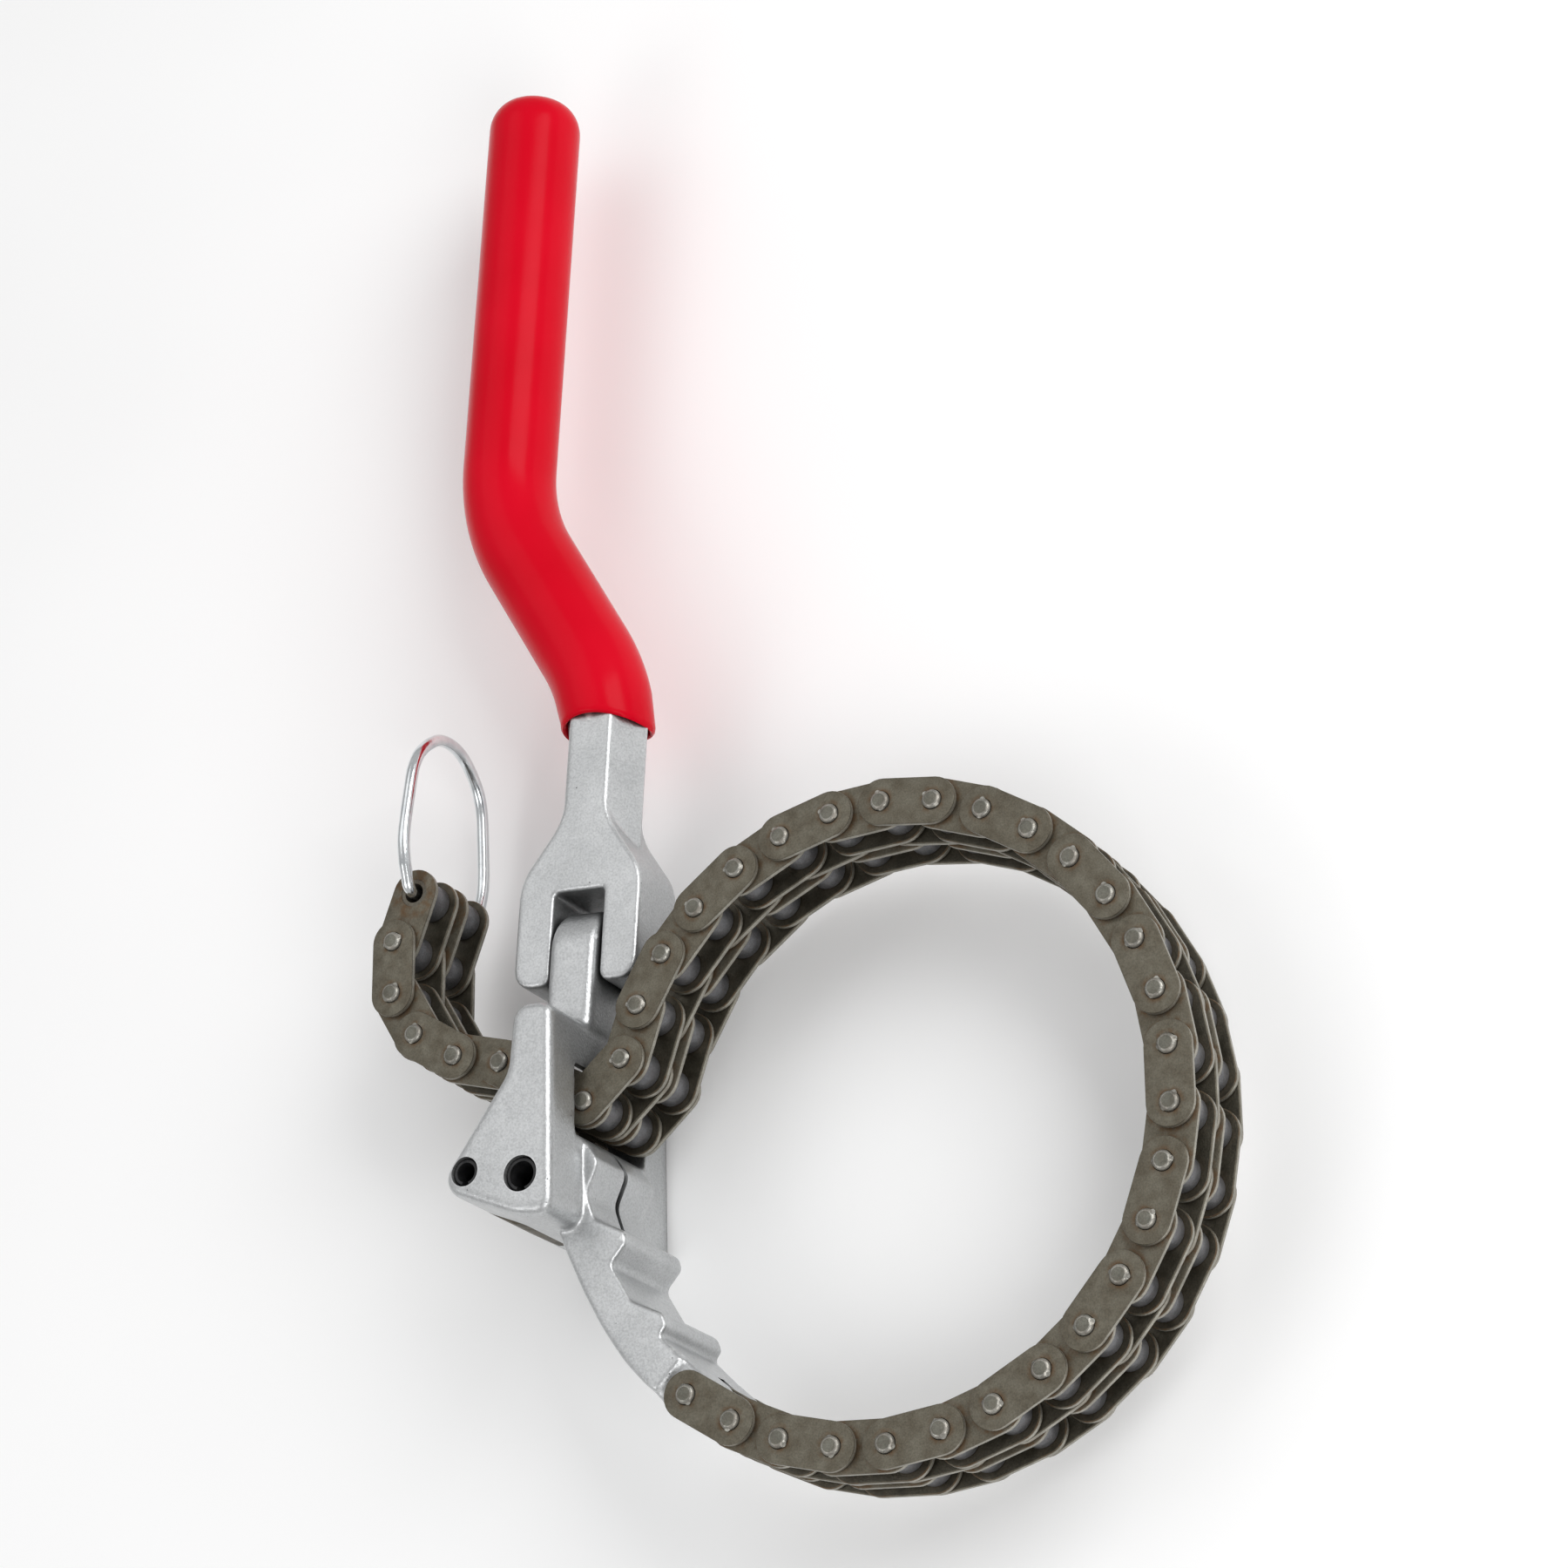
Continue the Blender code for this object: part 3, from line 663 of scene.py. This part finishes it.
def build_chain():
    """The chain: an outer and an inner link in turn, the first on the jaw's anchor pin."""
    dark, light = (0.112, 0.096, 0.068), (0.168, 0.154, 0.118)
    outer_face = chain_metal("outer_plate_face", dark, light, 0.46, near=(0.24, 0.36), amount=0.75)
    inner_face = chain_metal("inner_plate_face", dark, light, 0.48, near=(0.56, 0.68), amount=0.7)
    # Plate rims: lighter steel, partly the bright sheared edges and partly a painted highlight.
    rim = chain_metal("plate_rim_sheared_and_painted_highlight", (0.27, 0.257, 0.215), (0.42, 0.4, 0.34), 0.4, amount=0.3)
    cap = chain_metal("pin_cap", (0.13, 0.127, 0.104), (0.19, 0.186, 0.155), 0.42)
    # Pin ends: darker caps and lighter sides and rims; the lighter rim is a painted highlight.
    dark, light = (0.24, 0.235, 0.21), (0.42, 0.41, 0.37)
    pin = chain_metal("pin_rim_painted_highlight", dark, light, 0.3, near=(0.21, 0.25), amount=0.25)
    roller = chain_metal("roller_steel", (0.13, 0.133, 0.141), (0.2, 0.203, 0.213), 0.4)
    # Dark material for the plates' inner faces: painted shade between the plates.
    painted_shade_sides = chain_metal("painted_shade_face", (0.045, 0.04, 0.028), (0.085, 0.076, 0.056), 0.36)
    bush = chain_metal("bush_steel", (0.1, 0.09, 0.07), (0.16, 0.145, 0.115), 0.44)
    inner = (
        ("plates", inner_plates(), (inner_face, rim, painted_shade_sides)),
        ("rollers", link_rollers(), (roller, bush)),
    )
    outer = (
        ("plates", outer_plates(), (outer_face, rim, painted_shade_sides)),
        ("pins", link_pins(), (cap, pin)),
    )
    for number in range(1, LINKS + 1):
        kind, parts = (("inner", inner), ("outer", outer))[number % 2]
        start, end = PINS[number - 1], PINS[number]
        turn = math.atan2(end.y - start.y, end.x - start.x)
        node = f"chain_link_{number:02d}_{kind}"
        for part, mesh, materials in parts:
            nodes = (node,) if part == "plates" else ()
            name = f"link_{number:02d}_{part}"
            piece(name, mesh, materials, f"link_{number:02d}", nodes, start, turn)


# ---------------------------------------------------------------- head


def channel_point(x, y):
    """A point given along the chain's line through the head and up from it."""
    along = (PINS[30] - PINS[29]).xy.normalized()
    middle = (PINS[30] - PIVOT).xy
    return tuple(middle + x * along + y * Vector((along.y, -along.x)))


def cheek_outline():
    """Side view of the cheeks and the bridge above them."""
    return rounded((
        (-0.0042, -0.0183, 0.004), (-0.0047, -0.034, 0.008), (-0.0208, -0.0599, 0.0045),
        (-0.0005, -0.0672, 0.015), (0.0093, -0.0679, 0.0035), (0.0056, -0.0183, 0.003),
    ))


def jaw_outline():
    """The curved jaw: three teeth on the side of the filter, then the outer curve back to the head."""
    teeth = (
        (0.0062, -0.0475, 0), (0.0085, -0.0472, 0.001), (0.0123, -0.0522, 0.003), (0.0097, -0.0595, 0.004),
        (0.0121, -0.0654, 0), (0.0196, -0.0687, 0.0008), (0.0206, -0.0714, 0.001), (0.0169, -0.0762, 0.0015),
        (0.0227, -0.0847, 0.0015), (0.0305, -0.0879, 0.001), (0.0318, -0.0908, 0.001),
        (0.0302, -0.093, 0.001),
    )
    end = ((0.0362, -0.0986, 0), (0.03, -0.1057, 0))
    back = (
        (0.0273, -0.1039, 0.02), (0.0214, -0.0982, 0.05), (0.0154, -0.0904, 0.06), (0.0102, -0.0821, 0.05),
        (0.0051, -0.0726, 0.05), (0.0018, -0.066, 0), (0.0062, -0.0655, 0),
    )
    return rounded(teeth + end + back, 6)


def jaw_tip_outline():
    """The narrow end of the jaw, round about the chain's anchor pin."""
    end = list(around(ANCHOR, JAW_TIP_RADIUS, 60, -130, 24))
    return [(0.03, -0.0928), (0.0362, -0.0982)] + end + [(0.0273, -0.1035), (0.0245, -0.098)]


def slit_outline():
    """A thin groove along the upper part of the jaw's face, from just under it outwards."""
    face = [(0.0055, -0.0478), (0.0102, -0.0505), (0.0103, -0.0545), (0.0077, -0.059), (0.0088, -0.0655)]
    return face + [(0.017, -0.0655), (0.017, -0.044), (0.007, -0.044)]


def spring_pin_holes():
    """Cuts for the spring pins through both cheeks and the lock."""
    cuts = []
    for centre, radius in SPRING_PINS.values():
        cuts.append(("DIFFERENCE", prism(circle(centre, radius + GAP / 2, 40), -0.03, 0.03)))
    return cuts


def head_mesh():
    """The forging: cheeks, channel, pocket, jaw and tongue, softened, then machined holes and slots."""
    channel = [channel_point(x, y) for x, y in (
        (CHANNEL_REACH, -CHANNEL_DOWN), (-CHANNEL_REACH, -CHANNEL_DOWN), (-CHANNEL_REACH, CHANNEL_UP),
        (MOUTH - FLARE_RUN, CHANNEL_UP + FLARE_RISE), (MOUTH, CHANNEL_UP), (CHANNEL_REACH, CHANNEL_UP),
    )]
    pocket = [
        (POCKET_REACH, POCKET_TOP / 2), (POCKET_EDGE, POCKET_TOP),
        (POCKET_EDGE, POCKET_FLOOR), (POCKET_REACH, POCKET_FLOOR),
    ]
    root = [(TONGUE_ROOT, TONGUE_RADIUS), (TONGUE_ROOT, -TONGUE_RADIUS)]
    tongue = list(around((0, 0), TONGUE_RADIUS, -90, 90, 32)) + root
    cheeks = finished(prism(cheek_outline(), -HEAD_HALF, HEAD_HALF, bevel=CHEEK_EDGE), "head")
    mesh = combined(cheeks, (
        ("DIFFERENCE", prism(channel, -CHANNEL_HALF, CHANNEL_HALF)),
        ("DIFFERENCE", prism(pocket, -POCKET_HALF, POCKET_HALF)),
        ("UNION", prism(jaw_outline(), -JAW_HALF, JAW_HALF, bevel=JAW_EDGE)),
        ("UNION", prism(jaw_tip_outline(), -JAW_TIP_HALF, JAW_TIP_HALF, bevel=JAW_TIP_EDGE)),
        ("UNION", prism(tongue, -TONGUE_HALF, TONGUE_HALF, "X", bevel=CHEEK_EDGE)),
    ))
    mesh = softened(mesh, 20)
    cuts = [
        ("DIFFERENCE", prism(slit_outline(), -SLIT_HALF, SLIT_HALF)),
        ("DIFFERENCE", prism(circle(ANCHOR, PITCH / 2 + GAP, 40), -JAW_SLOT_HALF, JAW_SLOT_HALF)),
        ("DIFFERENCE", prism(circle(ANCHOR, PIN_RADIUS + GAP, 28), -HEAD_HALF, HEAD_HALF)),
        ("DIFFERENCE", prism(circle((0, 0), PIVOT_PIN_RADIUS + GAP, 32), -HEAD_HALF, HEAD_HALF, "X")),
    ]
    return smooth_shaded(combined(mesh, cuts + spring_pin_holes()))


def lock_mesh():
    """The toothed block that the chain's rollers rest on, with a row of teeth for each strand."""
    right, left = [channel_point(x, -LOCK_BASE_DROP) for x in LOCK_BASE]
    outline = rounded((
        (*right, 0), (*left, 0.001), (*LOCK_HEEL, 0.004),
        (-0.0103, LOCK_FLOOR, 0.001), (right[0], LOCK_FLOOR, 0.001),
    ))
    first, last = LOCK_RIB_ENDS
    rib = [channel_point(first, -LOCK_RIB_FOOT)]
    for tooth in range(TOOTH_COUNT):
        start = first + TOOTH_PITCH * tooth
        rib += [channel_point(start, -TOOTH_ROOT), channel_point(start + TOOTH_RISE, -TOOTH_TOP)]
        rib.append(channel_point(start + TOOTH_LENGTH, -TOOTH_TOP))
    rib.append(channel_point(last, -LOCK_RIB_FOOT))
    ribs = [("UNION", prism(rib, z - LOCK_RIB_HALF, z + LOCK_RIB_HALF)) for z in (-STRAND, STRAND)]
    base = finished(prism(outline, -LOCK_HALF, LOCK_HALF, bevel=LOCK_EDGE), "lock")
    return smooth_shaded(combined(base, ribs + spring_pin_holes()), 40)


def spring_pin_mesh(radius):
    """A rolled pin with a slit along it, and the rim of each end chamfered."""
    levels = [(SPRING_PIN_WALL * 0.35, 0.0008 - HEAD_HALF), (0.0, 0.0014 - HEAD_HALF)]
    levels += [(inset, -z) for inset, z in reversed(levels)]
    first, last = -90 + SPRING_PIN_HALF_SLIT, 270 - SPRING_PIN_HALF_SLIT
    shape = bmesh.new()
    loops = []
    for inset, z in levels:
        outer = around((0, 0), radius - inset, first, last, SPRING_PIN_STEPS)
        inner = around((0, 0), radius - SPRING_PIN_WALL + inset * 0.3, last, first, SPRING_PIN_STEPS)
        loops.append(ring_of(shape, [(x, y, z) for x, y in list(outer) + list(inner)]))
    for first_loop, second_loop in zip(loops, loops[1:]):
        bridge(shape, first_loop, second_loop)
    for loop in (loops[0], loops[-1]):
        for k in range(SPRING_PIN_STEPS):
            shape.faces.new((loop[k], loop[k + 1], loop[-k - 2], loop[-k - 1]))
    return finished(shape, "spring_pin")


def build_head(silver):
    steel = chain_metal("lock_steel", (0.08, 0.07, 0.05), (0.14, 0.12, 0.09), 0.48)
    black = black_steel()
    piece("head_forging", head_mesh(), (silver,), "head", ("head_casting",))
    piece("toothed_lock", lock_mesh(), (steel,), "head", ("chain_lock",))
    for name, (centre, radius) in SPRING_PINS.items():
        at = PIVOT + Vector((*centre, 0))
        piece(f"rolled_{name}", spring_pin_mesh(radius), (black,), "head", (name,), at)


# ---------------------------------------------------------------- handle


def handle_line(length):
    """The point and the direction of the handle's centre line, this far along it from its bend."""
    arc = BEND_RADIUS * BEND_ANGLE
    first = min(max(length, 0), arc)
    straight = min(max(length - arc, 0), BEND_STRAIGHT)
    second = min(max(length - arc - BEND_STRAIGHT, 0), arc)
    lean = (first - second) / BEND_RADIUS
    x = -BEND_RADIUS * (1 - math.cos(first / BEND_RADIUS)) - straight * math.sin(BEND_ANGLE)
    x -= BEND_RADIUS * (math.cos(BEND_ANGLE - second / BEND_RADIUS) - math.cos(BEND_ANGLE))
    y = BEND_START + BEND_RADIUS * math.sin(first / BEND_RADIUS) + straight * math.cos(BEND_ANGLE)
    y += BEND_RADIUS * (math.sin(BEND_ANGLE) - math.sin(BEND_ANGLE - second / BEND_RADIUS))
    y += length - first - straight - second
    return Vector((x, y, 0)), Vector((-math.sin(lean), math.cos(lean), 0))


def handle_rings(stations):
    """Rings for a skin about the handle's centre line, from stations (length along it, radius)."""
    rings = []
    for length, radius in stations:
        centre, ahead = handle_line(length)
        rings.append((centre, ahead.cross(Vector((0, 0, 1))), Vector((0, 0, 1)), radius))
    return rings


def line_end():
    """How far along the handle's centre line the top of the grip is."""
    bends = 2 * BEND_RADIUS * BEND_ANGLE + BEND_STRAIGHT
    return GRIP_END - BEND_START + bends - (handle_line(bends)[0].y - BEND_START)


def handle_mesh():
    """The fork and the hexagonal shank, softened as one forging, and the round bar inside the grip."""
    right = (
        (SLOT_HALF_WIDTH, FORK_FOOT, 0.0024), (FORK_HALF_WIDTH, FORK_FOOT, 0.0045),
        (FORK_HALF_WIDTH, 0.018, 0.013), (0.0056, 0.0325, 0.018), (0.005, 0.046, 0),
    )
    left = tuple((-x, y, radius) for x, y, radius in reversed(right))
    top = ((-SLOT_HALF_WIDTH, SLOT_TOP, 0.0008), (SLOT_HALF_WIDTH, SLOT_TOP, 0.0008))
    fork = finished(prism(rounded(right + left + top), -FORK_HALF, FORK_HALF, bevel=FORK_EDGE), "fork")
    axes = (Vector((1, 0, 0)), Vector((0, 0, 1)))
    shank = swept([(Vector((0, y, 0)), *axes, HEX_CORNER) for y in (HEX_START, RIM + LIP_ARCH)], 6)
    mesh = combined(fork, (("UNION", shank),))
    mesh = softened(mesh, 16)
    bore = prism(circle((0, 0), PIVOT_PIN_RADIUS + GAP / 2, 32), -HEAD_HALF, HEAD_HALF, "X")
    start, end = RIM - BEND_START - BAR_LAP, line_end() - GRIP_WALL
    root = swept(handle_rings([(start + (end - start) * k / 40, BAR_RADIUS) for k in range(41)]), 32)
    return smooth_shaded(combined(mesh, (("DIFFERENCE", bore), ("UNION", root))))


def grip_mesh():
    """The vinyl sleeve: a rounded lip at the shank, an even skin round the two bends, and a domed end."""
    start = RIM - BEND_START
    end = line_end()
    middle = handle_line(start)[0]
    across = (Vector((1, 0, 0)), Vector((0, 0, 1)))
    rings = [(middle + Vector((0, rise, 0)), *across, radius) for radius, rise in LIP]
    stations = []
    count = 90
    for k in range(count + 1):
        length = start + LIP_LENGTH + (end - DOME - start - LIP_LENGTH) * k / count
        stations.append((length, GRIP_RADIUS))
    count = 12
    for k in range(1, count + 1):
        angle = math.pi / 2 * k / (count + 0.5)
        radius = GRIP_RADIUS - DOME_CORNER + DOME_CORNER * math.cos(angle)
        stations.append((end - DOME + DOME * math.sin(angle), radius if k < count else DOME_FLAT))
    shape = swept(rings + handle_rings(stations), 56)
    for vert in shape.verts:
        near = max(0.0, 1 - max(0.0, vert.co.y - RIM) / ARCH_LENGTH)
        vert.co.y += LIP_ARCH * near * (vert.co.z / GRIP_RADIUS) ** 2
    return finished(shape, "grip", 70)


def fork_pin_mesh():
    """The pin through the fork and the head's tongue, with domed ends just inside the prongs' sides."""
    reach = FORK_HALF_WIDTH - GAP
    dome = [(0.0031, 0.0), (0.0036, 0.0001), (0.0039, 0.0004), (PIVOT_PIN_RADIUS, 0.0009)]
    profile = [(radius, drop - reach) for radius, drop in dome]
    profile += [(radius, reach - drop) for radius, drop in reversed(dome)]
    shape = bmesh.new()
    turned_solid(shape, profile, (0, 0), 36)
    bmesh.ops.rotate(shape, verts=shape.verts, matrix=Matrix.Rotation(math.pi / 2, 3, "Y"))
    return finished(shape, "fork_pin")


def build_handle(silver):
    piece("fork_and_shank", handle_mesh(), (silver,), "handle", ("handle_forging",))
    piece("dipped_grip", grip_mesh(), (red_vinyl(),), "handle", ("grip_sleeve",))
    piece("fork_pin", fork_pin_mesh(), (silver,), "handle", ("pivot_pin",))


# ---------------------------------------------------------------- pull ring


def ring_line():
    """The ring's centre line: evenly spaced points, smoothed except on the straight side in the bush."""
    mirrored = tuple((x, -z, radius) for x, z, radius in reversed(RING_CORNERS))
    line = evened(rounded(RING_CORNERS + mirrored, 16), 280)
    for _ in range(70):
        middles = [(line[k - 1] + line[(k + 1) % len(line)]) / 2 for k in range(len(line))]
        line = [
            here if here.x < RING_STRAIGHT else here.lerp(middle, 0.5)
            for here, middle in zip(line, middles)
        ]
    return line


def build_ring():
    """A closed wire loop whose straight side runs through the chain's last bush."""
    line = ring_line()
    up = Vector((0, 1, 0))
    rings = []
    for index, (x, z) in enumerate(line):
        ahead = line[(index + 1) % len(line)] - line[index - 1]
        tangent = Vector((ahead.x, 0, ahead.y)).normalized()
        rings.append((Vector((x, 0, z)), tangent.cross(up), up, WIRE_RADIUS))
    mesh = finished(swept(rings, 24, close=True), "ring", 70)
    piece("wire_ring", mesh, (zinc_wire(),), "ring", ("pull_ring",), PINS[LINKS], RING_ANGLE)


# ---------------------------------------------------------------- studio


def build_camera():
    """A long lens above and to the right of the loop, rolled so that the grip points up."""
    data = bpy.data.cameras.new("camera")
    data.lens = 97.49
    data.sensor_width = 36.0
    camera = bpy.data.objects.new("camera", data)
    bpy.context.scene.collection.objects.link(camera)
    back = Vector((0.4377, -0.3533, 0.8268)).normalized()
    up = Vector((0.1230, 0.9345, 0.3342))
    right = up.cross(back).normalized()
    up = back.cross(right)
    turn = Matrix((right, up, back)).transposed()
    camera.matrix_world = Matrix.Translation(PIVOT + Vector((0.4717, -0.3053, 0.8019))) @ turn.to_4x4()
    bpy.context.scene.camera = camera


def softbox(name, direction, distance, size, power):
    """A square soft light that faces the tool."""
    data = bpy.data.lights.new(name, "AREA")
    data.shape = "SQUARE"
    data.size = size
    data.energy = power
    light = bpy.data.objects.new(name, data)
    bpy.context.scene.collection.objects.link(light)
    towards = Vector(direction).normalized()
    target = Vector((0.0, -0.03, 0.03))
    turn = towards.to_track_quat("Z", "Y").to_matrix().to_4x4()
    light.matrix_world = Matrix.Translation(target + distance * towards) @ turn


def build_studio():
    """White surroundings, four softboxes and a pale floor."""
    world = bpy.data.worlds.new("studio")
    world.use_nodes = True
    background = world.node_tree.nodes["Background"]
    background.inputs["Color"].default_value = (1.0, 1.0, 1.0, 1.0)
    background.inputs["Strength"].default_value = WORLD_STRENGTH
    bpy.context.scene.world = world
    bpy.context.scene.view_settings.view_transform = "Standard"
    for name, values in SOFTBOXES.items():
        softbox(name, *values)
    sheet = finished(prism([(-4, -4), (4, -4), (4, 4), (-4, 4)], -0.02, -0.0001), "floor")
    floor = placed("floor", sheet, (floor_paper(),), (0, 0, 0))


build_camera()
build_studio()
cast = cast_silver()
build_head(cast)
build_handle(cast)
build_ring()
build_chain()
